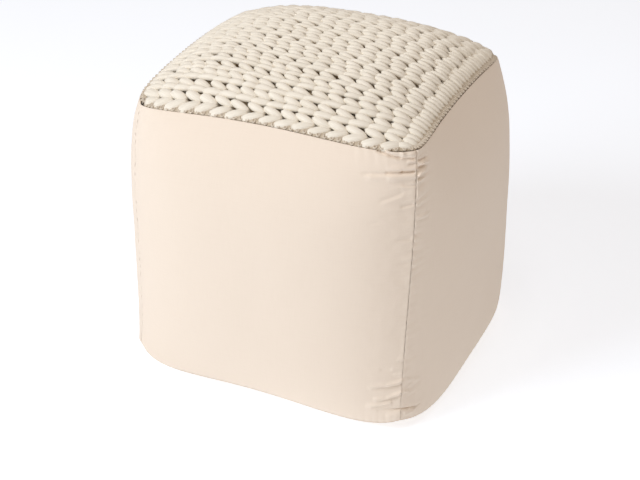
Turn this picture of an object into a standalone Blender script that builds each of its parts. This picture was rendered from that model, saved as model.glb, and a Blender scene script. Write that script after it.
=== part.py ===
"""A cube pouf: a stuffed casing in four woven cotton side panels and a base,
with a chunky stockinette knit over its domed top.

Units are metres and +Z is up. The origin is on the floor, under the middle of
the pouf. The front panel faces -Y. Each side is laid out with a place across
(-1 at its left seam, +1 at its right seam, seen from outside) and a place up
(0 at the base seam, 1 at the seam under the knit).
"""
import math
from collections import namedtuple

import bmesh
import bpy
import numpy as np
from mathutils import Vector

# Driving sizes
HALF_WIDTH = 0.225
DEPTH_RATIO = 0.95
TOP_HALF_WIDTH = 0.1834
BASE_HALF_WIDTH = 0.2092
SEAM_HEIGHT = 0.365
SEAM_LIFT = 0.0147
CROWN = 0.053
CROWN_POWER = 2.8
BASE_SEAM_CORNER = 0.031
BASE_SEAM_MIDDLE = 0.0097
FLAT_SHARE = 0.82
BASE_RINGS = (FLAT_SHARE, 0.88, 0.94)
FRONT_TUCK_BACK = 0.0092
FRONT_TUCK_UP = 0.0042
FRONT_TUCK_POWER = 4
FRONT_TUCK_SKEW = 0.7

# Roundness of the plan outline: a higher power is squarer
TOP_POWER = 8.3
MIDDLE_POWER = 3.0
BASE_POWER = 5.0
UPPER_SWELL_POWER = 2.84
LOWER_SWELL_POWER = 5.0
CORNER_REACH = 3.9

# The last place on a surface where its slope is taken, just short of its edge
JUST_INSIDE = 0.9995

# Layers
CLOTH = 0.002
CASING_GAP = 0.001
SEAM_PARTING = 0.0007
RIM_PARTING = 0.0014
KNIT_UNDERSIDE = 0.004
KNIT_RIM_UNDERSIDE = 0.0008
STITCH_VALLEY = -0.0015
STITCH_RIDGE = 0.0042
KNIT_SETBACK = 0.0052
EDGING_RADIUS = 0.0021
EDGING_SETBACK = 0.0026
EDGING_PROUD = 0.0008
EDGING_STEPS = 24
EDGING_SIDES = 5
EDGING_NECK = 0.8

# The knit: chains run from left to right, side by side from front to back
STITCHES = 17
CHAINS = 19
LEG_LEVELS = (0.0, 0.3, 0.7)
LEG_HEIGHTS = {0.0: 0.40, 0.3: 1.0, 0.7: 0.95}
CHAIN_EDGE_HEIGHT = 0.25
BETWEEN_LEGS_HEIGHT = 0.12

# How far each corner seam strays from a true square, at its top and its foot
Corner = namedtuple("Corner", "name top_x top_y top_z foot_x foot_y foot_z")
CORNERS = (
    Corner("front_right", 0.012, 0.010, 0.0085, 0.0015, -0.008, -0.012),
    Corner("back_right", 0.0, 0.0, 0.0, 0.0, 0.0, 0.0),
    Corner("back_left", 0.0, 0.0, 0.0, 0.0, 0.0, 0.0),
    Corner("front_left", 0.0, 0.0, 0.0025, 0.0, 0.0, 0.0),
)

# Places across and up where the surfaces have their points
FINE_ACROSS = (-1, -0.94, -0.85, -0.65, -0.25, 0.2, 0.45, 0.62, 0.75, 0.83, 0.89, 0.94,
               0.97, 1)
PLAIN_ACROSS = (-1, -0.94, -0.85, -0.65, -0.25, 0.2, 0.62, 0.83, 0.94, 1)
PLAIN_UP = (0, 0.06, 0.14, 0.26, 0.42, 0.58, 0.70, 0.80, 0.88, 0.95, 1)
FINE_UP = (0, 0.03, 0.06, 0.09, 0.115, 0.14, 0.19, 0.26, 0.34, 0.42, 0.50, 0.58, 0.64,
           0.68, 0.70, 0.72, 0.74, 0.76, 0.78, 0.80, 0.82, 0.84, 0.86, 0.88, 0.90,
           0.925, 0.95, 0.975, 1)

# Folds and puckers stand out from a panel along a line from one place to another
Fold = namedtuple("Fold", "panel across_1 up_1 across_2 up_2 half_width height")
FOLDS = [
    Fold("front_panel", 0.80, 0.955, 0.97, 0.965, 0.0070, 0.0042),
    Fold("front_panel", 0.72, 0.905, 0.97, 0.915, 0.0050, 0.0030),
    Fold("front_panel", 0.74, 0.860, 0.98, 0.880, 0.0050, 0.0028),
    Fold("front_panel", 0.86, 0.800, 0.98, 0.820, 0.0050, 0.0018),
    Fold("front_panel", 0.88, 0.700, 0.98, 0.720, 0.0060, 0.0014),
    Fold("front_panel", 0.82, 0.150, 0.98, 0.175, 0.0060, 0.0016),
    Fold("front_panel", 0.78, 0.095, 0.99, 0.115, 0.0060, 0.0032),
    Fold("front_panel", 0.86, 0.030, 1.00, 0.035, 0.0050, 0.0026),
    Fold("right_panel", -1.00, 0.035, -0.90, 0.040, 0.0050, 0.0026),
    Fold("right_panel", -1.00, 0.110, -0.86, 0.135, 0.0060, 0.0014),
]
SEAM_FADE = 0.03
PUCKERS = 9
PUCKER_START = 0.93
PUCKER_PITCH = 0.04
PUCKER_REACH = 0.13
SHORT_PUCKER = 0.7
PUCKER_RISE = 0.035
PUCKER_HALF_WIDTH = 0.004
PUCKER_HEIGHT = 0.0024
PUCKER_FADE = 12

Finish = namedtuple("Finish", "red green blue roughness")
COTTON = Finish(0.86, 0.78, 0.67, 0.85)
CASING = Finish(0.42, 0.34, 0.24, 0.95)
WOOL = Finish(0.82, 0.75, 0.63, 0.90)


def material(name, finish):
    """A plain matte material in the finish's colour."""
    made = bpy.data.materials.new(name)
    made.use_nodes = True
    shader = made.node_tree.nodes["Principled BSDF"]
    shader.inputs["Base Color"].default_value = (finish.red, finish.green, finish.blue, 1)
    shader.inputs["Roughness"].default_value = finish.roughness
    shader.inputs["Metallic"].default_value = 0
    return made


def blend(up, foot, middle, top):
    """A size that runs from its foot value through its middle value to its top value."""
    end = top if up > 0.5 else foot
    power = UPPER_SWELL_POWER if up > 0.5 else LOWER_SWELL_POWER
    swell = 1 - abs(2 * up - 1) ** power
    return end + (middle - end) * swell


def outline(across, half_width, power):
    """A place on one side of a rounded square: how far along it and how far out."""
    reach = half_width * (1 + abs(across) ** power) ** (-1 / power)
    return reach * across, reach


def turned(along, out, quarter):
    """A place on the front side, turned on to side number quarter."""
    turn = math.radians(90 * quarter)
    x = along * math.cos(turn) + out * math.sin(turn)
    y = along * math.sin(turn) - out * math.cos(turn)
    return x, y * DEPTH_RATIO


def corner_of(quarter, across):
    """The corner at that end of a side."""
    return CORNERS[quarter % 4 if across > 0 else (quarter - 1) % 4]


def side_place(quarter, across, up):
    """The outer face of the cloth on one side."""
    half_width = blend(up, BASE_HALF_WIDTH, HALF_WIDTH, TOP_HALF_WIDTH)
    power = 1 / blend(up, 1 / BASE_POWER, 1 / MIDDLE_POWER, 1 / TOP_POWER)
    x, y = turned(*outline(across, half_width, power), quarter)
    pull = abs(across) ** CORNER_REACH
    corner = corner_of(quarter, across)
    top = SEAM_HEIGHT + SEAM_LIFT * (1 - across ** 2) + pull * corner.top_z
    foot = BASE_SEAM_MIDDLE + (BASE_SEAM_CORNER - BASE_SEAM_MIDDLE) * across ** 4
    foot += pull * corner.foot_z
    x += pull * (up * corner.top_x + (1 - up) * corner.foot_x)
    y += pull * (up * corner.top_y + (1 - up) * corner.foot_y)
    if quarter == 0:
        tuck = (1 - across ** 2) ** 2 * (1 - FRONT_TUCK_SKEW * across)
        foot += FRONT_TUCK_UP * tuck
        y += FRONT_TUCK_BACK * tuck * (1 - up) ** FRONT_TUCK_POWER
    return Vector((x, y, foot + (top - foot) * up))


def top_place(right, back, shrink=1.0):
    """The domed top, at a place from -1 to 1 to the right and to the back.

    With a shrink below 1 the same layout ends that much short of the seam.
    """
    both = abs(right * back)
    reach = shrink * TOP_HALF_WIDTH * (1 + both ** TOP_POWER) ** (-1 / TOP_POWER)
    pull = shrink * both ** CORNER_REACH
    if right > 0:
        corner = CORNERS[1 if back > 0 else 0]
    else:
        corner = CORNERS[2 if back > 0 else 3]
    across = shrink * right
    deep = shrink * back
    lift = SEAM_LIFT * (deep ** 2 * (1 - across ** 2) + across ** 2 * (1 - deep ** 2))
    dome = CROWN * (1 - abs(across) ** CROWN_POWER) * (1 - abs(deep) ** CROWN_POWER)
    return Vector((
        reach * right + pull * corner.top_x,
        reach * back * DEPTH_RATIO + pull * corner.top_y,
        SEAM_HEIGHT + lift + dome + pull * corner.top_z,
    ))


def base_place(quarter, across, share):
    """The underside, from the flat middle out to the base seam at share 1."""
    seam = side_place(quarter, across, 0)
    rise = max(0.0, (share - FLAT_SHARE) / (1 - FLAT_SHARE))
    return Vector((seam.x * share, seam.y * share, seam.z * rise ** 2))


def outward(place, first, second, step=1e-4):
    """The outward direction of a surface, from its slopes in two directions."""
    along = place(first + step, second) - place(first - step, second)
    over = place(first, second + step) - place(first, second - step)
    return along.cross(over).normalized()


def side_outward(quarter, across, up):
    """The outward direction of a side, kept a hair inside its seams."""
    across = min(max(across, -JUST_INSIDE), JUST_INSIDE)
    up = min(max(up, 1 - JUST_INSIDE), JUST_INSIDE)
    return outward(lambda a, b: side_place(quarter, a, b), across, up)


def top_outward(right, back, shrink=1.0):
    """The outward direction of the top, kept a hair inside its edge."""
    right = min(max(right, -JUST_INSIDE), JUST_INSIDE)
    back = min(max(back, -JUST_INSIDE), JUST_INSIDE)
    return outward(lambda a, b: top_place(a, b, shrink), right, back)


def base_outward(quarter, across, share):
    """The outward direction of the underside."""
    if share <= FLAT_SHARE:
        return Vector((0, 0, -1))
    across = min(max(across, -JUST_INSIDE), JUST_INSIDE)
    share = min(share, JUST_INSIDE)
    return outward(lambda a, b: base_place(quarter, a, b), across, share)


def mitred(first_out, second_out, depth):
    """The step inwards at a seam that is at least that deep below both its sides."""
    middle = (first_out + second_out).normalized()
    return -middle * depth / min(middle.dot(first_out), middle.dot(second_out))


def edge_of_top(quarter, across):
    """The place on the top's edge that meets that place across a side."""
    x, y = turned(across, 1, quarter)
    return x, y / DEPTH_RATIO


def folds_of(panel):
    """Every fold of a panel, with the row of puckers beside the front right seam."""
    rows = [fold for fold in FOLDS if fold.panel == panel]
    if panel == "right_panel":
        for number in range(PUCKERS):
            up = PUCKER_START - PUCKER_PITCH * number
            reach = PUCKER_REACH * (SHORT_PUCKER if number % 2 else 1)
            height = PUCKER_HEIGHT * (1 - number / PUCKER_FADE)
            rows.append(Fold(panel, -1, up, reach - 1, up + PUCKER_RISE,
                             PUCKER_HALF_WIDTH, height))
    return rows


def raised(folds, across, up):
    """How far the cloth stands out at a place, over all the folds near it."""
    spot = np.array((across * TOP_HALF_WIDTH, up * SEAM_HEIGHT))
    most = 0.0
    for fold in folds:
        start = np.array((fold.across_1 * TOP_HALF_WIDTH, fold.up_1 * SEAM_HEIGHT))
        end = np.array((fold.across_2 * TOP_HALF_WIDTH, fold.up_2 * SEAM_HEIGHT))
        run = end - start
        along = float(np.clip(np.dot(spot - start, run) / np.dot(run, run), 0, 1))
        away = float(np.linalg.norm(spot - start - along * run))
        most += fold.height * math.exp(-((away / fold.half_width) ** 2))
    seam_fade = min(1.0, (1 - abs(across)) / SEAM_FADE)
    top_fade = min(1.0, (1 - up) / SEAM_FADE)
    return most * seam_fade * top_fade


def parted(place, limit, least=-1):
    """A place on a panel, held back from the seams that it lies between."""
    return min(max(place, least + limit), 1 - limit)


def grid_mesh(columns, rows, placed):
    """A grid of faces, with each point moved to its place on the surface."""
    mesh = bmesh.new()
    bmesh.ops.create_grid(mesh, x_segments=columns, y_segments=rows, size=1)
    for point in mesh.verts:
        column = round((point.co.x + 1) / 2 * columns)
        row = round((point.co.y + 1) / 2 * rows)
        point.co = placed(column, row)
    bmesh.ops.triangulate(mesh, faces=mesh.faces, quad_method="FIXED")
    return mesh


def patch(mesh, first, second, third, fourth):
    """Two triangles over four corners, split from the first to the third."""
    mesh.faces.new((first, second, third))
    mesh.faces.new((first, third, fourth))


def named_object(name, mesh, finish_material, collection):
    """A named object that holds a finished mesh."""
    data = bpy.data.meshes.new(name)
    mesh.to_mesh(data)
    mesh.free()
    data.materials.append(finish_material)
    data.shade_smooth()
    made = bpy.data.objects.new(name, data)
    collection.objects.link(made)
    return made


def thicken(made):
    """Give an open sheet the thickness of the cloth, inwards."""
    solidify = made.modifiers.new("cloth thickness", "SOLIDIFY")
    solidify.thickness = CLOTH
    solidify.offset = -1
    solidify.use_even_offset = False


def side_panel(name, quarter, acrosses, ups, finish_material, collection):
    """One woven side panel, with its folds, held back a little from its seams."""
    folds = folds_of(name)
    seam_gap = SEAM_PARTING / TOP_HALF_WIDTH
    rim_gap = RIM_PARTING / SEAM_HEIGHT

    def placed(column, row):
        across = parted(acrosses[column], seam_gap)
        up = parted(ups[row], rim_gap, least=0)
        stand = raised(folds, across, up)
        return side_place(quarter, across, up) + side_outward(quarter, across, up) * stand

    mesh = grid_mesh(len(acrosses) - 1, len(ups) - 1, placed)
    thicken(named_object(name, mesh, finish_material, collection))


def round_the_sides(levels):
    """Places round the pouf, side after side, without the last of each side."""
    return [(quarter, across) for quarter in range(4) for across in levels(quarter)[:-1]]


def across_levels(quarter):
    """The places across a side: the right and back sides run the other way."""
    if quarter in (1, 2):
        return tuple(-across for across in reversed(PLAIN_ACROSS))
    return PLAIN_ACROSS


def ring_faces(mesh, lower, upper):
    """Faces between two rings of as many points, facing away from their middle."""
    for number in range(len(lower)):
        after = (number + 1) % len(lower)
        patch(mesh, lower[number], lower[after], upper[after], upper[number])


def base_panel(finish_material, collection):
    """The base: flat on the floor, and curved up to the seam at its rim."""
    mesh = bmesh.new()
    places = round_the_sides(across_levels)
    rim = 1 - RIM_PARTING / BASE_HALF_WIDTH
    rings = []
    for share in (*BASE_RINGS, rim):
        rings.append([mesh.verts.new(base_place(*place, share)) for place in places])
    for inner, outer in zip(rings, rings[1:]):
        ring_faces(mesh, inner, outer)
    mesh.faces.new(list(reversed(rings[0])))
    thicken(named_object("base_panel", mesh, finish_material, collection))


def stuffed_body(finish_material, collection):
    """The filled casing: one solid with its crown, swollen sides and flat foot."""
    mesh = bmesh.new()
    places = round_the_sides(across_levels)
    inset = CLOTH + CASING_GAP
    rings = []
    for share in BASE_RINGS:
        ring = []
        for quarter, across in places:
            out = base_outward(quarter, across, share)
            ring.append(mesh.verts.new(base_place(quarter, across, share) - out * inset))
        rings.append(ring)
    for up in PLAIN_UP:
        ring = []
        for quarter, across in places:
            out = side_outward(quarter, across, up)
            inward = -out * inset
            if up == 0:
                inward = mitred(out, base_outward(quarter, across, 1), inset)
            if up == 1:
                over = top_outward(*edge_of_top(quarter, across))
                inward = mitred(out, over, KNIT_UNDERSIDE + CASING_GAP)
            ring.append(mesh.verts.new(side_place(quarter, across, up) + inward))
        rings.append(ring)
    for lower, upper in zip(rings, rings[1:]):
        ring_faces(mesh, lower, upper)
    mesh.faces.new(list(reversed(rings[0])))
    top_cover(mesh, rings[-1])
    named_object("stuffed_body", mesh, finish_material, collection)


def top_cover(mesh, ring):
    """Close the casing's top with a grid that ends on its upper ring."""
    count = len(PLAIN_ACROSS) - 1
    rights = across_levels(0)
    backs = across_levels(1)
    table = {}
    for number in range(count):
        table[number, 0] = ring[number]
        table[count, number] = ring[count + number]
        table[count - number, count] = ring[2 * count + number]
        table[0, count - number] = ring[3 * count + number]
    for column in range(1, count):
        for row in range(1, count):
            out = top_outward(rights[column], backs[row])
            place = top_place(rights[column], backs[row])
            table[column, row] = mesh.verts.new(place - out * (KNIT_UNDERSIDE + CASING_GAP))
    for column in range(count):
        for row in range(count):
            patch(mesh, table[column, row], table[column + 1, row],
                  table[column + 1, row + 1], table[column, row + 1])


def knit_lines():
    """The lines of points along the chains, with their level from a chain's middle."""
    near = [-level for level in (1.0, *reversed(LEG_LEVELS))]
    far = list(LEG_LEVELS[1:])
    lines = []
    for chain in range(CHAINS):
        for level in near + far:
            lines.append((chain + (1 + level) / 2, abs(level)))
    lines.append((float(CHAINS), 1.0))
    return lines


def knit_top(finish_material, collection):
    """The knitted cover: two raised legs to a stitch, in chains from left to right."""
    lines = knit_lines()
    columns = 2 * STITCHES
    edge = 1 - KNIT_SETBACK / TOP_HALF_WIDTH

    def placed(column, row):
        line, level = lines[row]
        stitch = column / 2
        slant = min(1.0, stitch, (STITCHES - stitch) / 2)
        stitch += slant * (1 - level)
        right = 2 * stitch / STITCHES - 1
        back = 2 * line / CHAINS - 1
        ridge = column % 2 == 1 or column == 0 or column == columns
        share = LEG_HEIGHTS.get(level, CHAIN_EDGE_HEIGHT) if ridge else BETWEEN_LEGS_HEIGHT
        height = STITCH_VALLEY + (STITCH_RIDGE - STITCH_VALLEY) * share
        return top_place(right, back, edge) + top_outward(right, back, edge) * height

    mesh = grid_mesh(columns, len(lines) - 1, placed)
    upper = rim_in_order(mesh, columns, len(lines) - 1)
    rights = across_levels(0)
    backs = across_levels(1)
    count = len(rights) - 1
    table = {}
    for column in range(count + 1):
        for row in range(count + 1):
            at_rim = column in (0, count) or row in (0, count)
            shrink = edge if at_rim else 1.0
            depth = KNIT_RIM_UNDERSIDE if at_rim else KNIT_UNDERSIDE
            out = top_outward(rights[column], backs[row], shrink)
            place = top_place(rights[column], backs[row], shrink)
            table[column, row] = mesh.verts.new(place - out * depth)
    for column in range(count):
        for row in range(count):
            patch(mesh, table[column + 1, row + 1], table[column + 1, row],
                  table[column, row], table[column, row + 1])
    lower = []
    for side, number in ((side, number) for side in range(4) for number in range(count)):
        spot = ((number, 0), (count, number), (count - number, count), (0, count - number))[side]
        level = across_levels(side)[number]
        lower.append((side + (level + 1) / 2, table[spot]))
    lace(mesh, upper, lower)
    named_object("knit_top", mesh, finish_material, collection)


def rim_in_order(mesh, columns, rows):
    """The rim points of a fresh grid, from its front left corner round to the right."""
    mesh.verts.ensure_lookup_table()
    width = columns + 1
    rim = [(number / columns, mesh.verts[number]) for number in range(columns)]
    rim += [(1 + number / rows, mesh.verts[number * width + columns]) for number in range(rows)]
    rim += [(2 + number / columns, mesh.verts[rows * width + columns - number])
            for number in range(columns)]
    rim += [(3 + number / rows, mesh.verts[(rows - number) * width]) for number in range(rows)]
    return rim


def lace(mesh, upper, lower):
    """Close the wall between two rims that have unlike numbers of points."""
    over = 0
    under = 0
    while over < len(upper) or under < len(lower):
        next_over = upper[over + 1][0] if over + 1 < len(upper) else 4.0
        next_under = lower[under + 1][0] if under + 1 < len(lower) else 4.0
        top = upper[over % len(upper)][1]
        foot = lower[under % len(lower)][1]
        if under >= len(lower) or (over < len(upper) and next_over <= next_under):
            mesh.faces.new((foot, upper[(over + 1) % len(upper)][1], top))
            over += 1
        else:
            mesh.faces.new((foot, lower[(under + 1) % len(lower)][1], top))
            under += 1


def knit_edging(finish_material, collection):
    """The narrow looped edging between the knit and the cloth, as one ring."""
    mesh = bmesh.new()
    rings = []
    share = 1 - EDGING_SETBACK / TOP_HALF_WIDTH
    for quarter in range(4):
        for step in range(EDGING_STEPS):
            across = 2 * step / EDGING_STEPS - 1
            right, back = edge_of_top(quarter, across)
            up = top_outward(right, back, share)
            out = side_outward(quarter, across, 1)
            out = (out - up * out.dot(up)).normalized()
            centre = top_place(right, back, share) + up * EDGING_PROUD
            radius = EDGING_RADIUS * (1 if step % 2 else EDGING_NECK)
            ring = []
            for side in range(EDGING_SIDES):
                angle = 2 * math.pi * side / EDGING_SIDES
                offset = out * math.cos(angle) + up * math.sin(angle)
                ring.append(mesh.verts.new(centre + offset * radius))
            rings.append(ring)
    for number, ring in enumerate(rings):
        ring_faces(mesh, ring, rings[(number + 1) % len(rings)])
    bmesh.ops.recalc_face_normals(mesh, faces=mesh.faces)
    named_object("knit_edging", mesh, finish_material, collection)


def build():
    """Clear the scene and make every piece of the pouf."""
    for old in list(bpy.data.objects):
        bpy.data.objects.remove(old)
    collection = bpy.data.collections.new("cube pouf")
    bpy.context.scene.collection.children.link(collection)
    cotton = material("woven cotton", COTTON)
    casing = material("filled casing", CASING)
    wool = material("knitted yarn", WOOL)
    back_to_front = tuple(-across for across in reversed(FINE_ACROSS))
    stuffed_body(casing, collection)
    side_panel("front_panel", 0, FINE_ACROSS, FINE_UP, cotton, collection)
    side_panel("right_panel", 1, back_to_front, FINE_UP, cotton, collection)
    side_panel("back_panel", 2, across_levels(2), PLAIN_UP, cotton, collection)
    side_panel("left_panel", 3, across_levels(3), PLAIN_UP, cotton, collection)
    base_panel(cotton, collection)
    knit_top(wool, collection)
    knit_edging(wool, collection)


build()
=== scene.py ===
"""A cube pouf: a filled casing in woven cotton panels, under a chunky knitted top."""
import math
import random
from collections import namedtuple
import bpy
import numpy as np
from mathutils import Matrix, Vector
from mathutils import noise


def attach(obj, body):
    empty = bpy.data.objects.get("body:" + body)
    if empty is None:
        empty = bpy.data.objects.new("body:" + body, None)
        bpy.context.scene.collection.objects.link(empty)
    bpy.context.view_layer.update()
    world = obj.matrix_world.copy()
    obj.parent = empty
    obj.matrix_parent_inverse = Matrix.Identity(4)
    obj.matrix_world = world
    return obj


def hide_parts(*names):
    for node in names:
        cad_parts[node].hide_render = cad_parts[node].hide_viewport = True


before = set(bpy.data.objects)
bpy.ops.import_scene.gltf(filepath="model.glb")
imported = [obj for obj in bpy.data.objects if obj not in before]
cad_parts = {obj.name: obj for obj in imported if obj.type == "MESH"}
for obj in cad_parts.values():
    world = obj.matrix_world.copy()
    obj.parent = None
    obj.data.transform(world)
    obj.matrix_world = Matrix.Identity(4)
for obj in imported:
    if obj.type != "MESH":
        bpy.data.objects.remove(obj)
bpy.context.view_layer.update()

# The filled casing: a closed cotton bag, packed tight with loose filling, that gives the
# pouf its swollen sides and its crown. It is blown up from its cut shape until it fills
# the cover, and only its top is glimpsed, dark, through the gaps of the knit.
CASING_SLACK = 0.006
CASING_VOXEL = 0.010
CASING_PRESSURE = 4.0
CASING_SWELL = 0.005
CASING_FRAMES = 20
MERGE_DISTANCE = 1e-5
CASING_LIGHT = (0.80, 0.67, 0.49, 1)
CASING_DARK = (0.64, 0.536, 0.392, 1)

bpy.ops.object.select_all(action="DESELECT")
casing = bpy.data.objects.new("filled_casing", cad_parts["stuffed_body"].data.copy())
bpy.context.scene.collection.objects.link(casing)
bpy.context.view_layer.objects.active = casing
casing.select_set(True)
bpy.ops.object.mode_set(mode="EDIT")
bpy.ops.mesh.select_all(action="SELECT")
bpy.ops.mesh.remove_doubles(threshold=MERGE_DISTANCE)
bpy.ops.object.mode_set(mode="OBJECT")
casing.data.materials.clear()
slack = casing.modifiers.new("slack", "DISPLACE")
slack.strength = -CASING_SLACK
slack.mid_level = 0
bpy.ops.object.modifier_apply(modifier="slack")
remesh = casing.modifiers.new("even weave of points", "REMESH")
remesh.mode = "VOXEL"
remesh.voxel_size = CASING_VOXEL
bpy.ops.object.modifier_apply(modifier="even weave of points")

cloth = casing.modifiers.new("filling", "CLOTH")
cloth.settings.quality = 4
cloth.settings.use_pressure = True
cloth.settings.uniform_pressure_force = CASING_PRESSURE
cloth.settings.effector_weights.gravity = 0
cloth.point_cache.frame_start = 1
cloth.point_cache.frame_end = CASING_FRAMES
for number in range(1, CASING_FRAMES + 1):
    bpy.context.scene.frame_set(number)
filled = casing.evaluated_get(bpy.context.evaluated_depsgraph_get()).data
start = np.array([point.co for point in casing.data.vertices], float)
swollen = np.array([point.co for point in filled.vertices], float)
moved = swollen - start
length = np.linalg.norm(moved, axis=1, keepdims=True)
moved *= CASING_SWELL / np.maximum(length, CASING_SWELL)
casing.modifiers.remove(cloth)
casing.data.vertices.foreach_set("co", (start + moved).astype(np.float32).ravel())
casing.data.update()
bpy.context.scene.frame_set(1)

soften = casing.modifiers.new("soft surface", "SUBSURF")
soften.levels = 1
soften.render_levels = 1
bpy.ops.object.modifier_apply(modifier="soft surface")
casing.data.shade_smooth()

casing_cloth = bpy.data.materials.new("casing cloth")
casing_cloth.use_nodes = True
nodes = casing_cloth.node_tree.nodes
links = casing_cloth.node_tree.links
shader = nodes["Principled BSDF"]
shader.inputs["Roughness"].default_value = 0.95
place = nodes.new("ShaderNodeTexCoord")
threads = nodes.new("ShaderNodeTexNoise")
threads.inputs["Scale"].default_value = 900
threads.inputs["Detail"].default_value = 2
shades = nodes.new("ShaderNodeMix")
shades.data_type = "RGBA"
shades.inputs["A"].default_value = CASING_DARK
shades.inputs["B"].default_value = CASING_LIGHT
relief = nodes.new("ShaderNodeBump")
relief.inputs["Distance"].default_value = 0.0003
links.new(place.outputs["Object"], threads.inputs["Vector"])
links.new(threads.outputs["Fac"], shades.inputs["Factor"])
links.new(shades.outputs["Result"], shader.inputs["Base Color"])
links.new(threads.outputs["Fac"], relief.inputs["Height"])
links.new(relief.outputs["Normal"], shader.inputs["Normal"])
casing.data.materials.append(casing_cloth)

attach(casing, "root")
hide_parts("stuffed_body")

# The side panels: four pieces of cream woven cotton, sewn edge to edge with their
# allowances inside, and pulled tight over the casing. The cloth sinks into each seam,
# and it creases and puckers most beside the seam at the front right corner.
SIDE_HALF_WIDTH = 0.225
SIDE_TOP_HALF_WIDTH = 0.1834
SIDE_BASE_HALF_WIDTH = 0.2092
DEPTH_RATIO = 0.95
SEAM_HEIGHT = 0.365
SEAM_LIFT = 0.0147
BASE_SEAM_CORNER = 0.031
BASE_SEAM_MIDDLE = 0.0097
TOP_POWER = 8.3
MIDDLE_POWER = 3.0
BASE_POWER = 5.0
UPPER_SWELL_POWER = 2.84
LOWER_SWELL_POWER = 5.0
CORNER_REACH = 3.9
FRONT_TUCK_BACK = 0.0092
FRONT_TUCK_UP = 0.0042
FRONT_TUCK_POWER = 4
FRONT_TUCK_SKEW = 0.7
COTTON_THICKNESS = 0.0014
RIM_ANGLE = math.radians(60)
SEAM_PARTING = 0.0004
SIDE_SEAM_DEPTH = 0.0004
TOP_SEAM_DEPTH = 0.0003
BASE_SEAM_DEPTH = 0.0012
SEAM_HALF_WIDTH = 0.0009
SEAM_LIP = 0.00005
LIP_PLACE = 0.0042
LIP_HALF_WIDTH = 0.0022
GATHER_HEIGHT = 0.00028
GATHER_PITCH = 0.011
GATHER_REACH = 0.010
GATHER_UNEVENNESS = 3
GATHER_CHANGES = 37
LUMP_HEIGHT = 0.0006
LUMP_SIZE = 0.045
LUMP_FADE = 0.03
MOTTLE_HEIGHT = 0.0006
MOTTLE_SIZE = 0.012
MOTTLE_REACH = 0.05
MOTTLE_SHIFT = 5

# The puckers beside the front right seam: fine wrinkles that climb away from it
PUCKER_HEIGHT = {"front_panel": 0.0014, "right_panel": 0.0036}
PUCKER_START = 0.004
PUCKER_REACH = 0.026
PUCKER_LENGTH = 0.050
PUCKER_PITCH = 0.0110
PUCKER_SLOPE = {"front_panel": -0.10, "right_panel": 0.20}
PUCKER_CREST = 0.5
PUCKER_SHARPNESS = 2.6
PUCKER_SHIFT = 9
PUCKER_STRENGTH = ((0.0, 0.35), (0.12, 0.30), (0.20, 0.14), (0.45, 0.14), (0.62, 0.24),
                   (0.78, 0.45), (0.90, 0.9), (1.0, 1.0))

Corner = namedtuple("Corner", "name top_x top_y top_z foot_x foot_y foot_z")
CORNERS = (
    Corner("front_right", 0.012, 0.010, 0.0085, 0.0015, -0.008, -0.012),
    Corner("back_right", 0.0, 0.0, 0.0, 0.0, 0.0, 0.0),
    Corner("back_left", 0.0, 0.0, 0.0, 0.0, 0.0, 0.0),
    Corner("front_left", 0.0, 0.0, 0.0025, 0.0, 0.0, 0.0),
)

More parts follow.
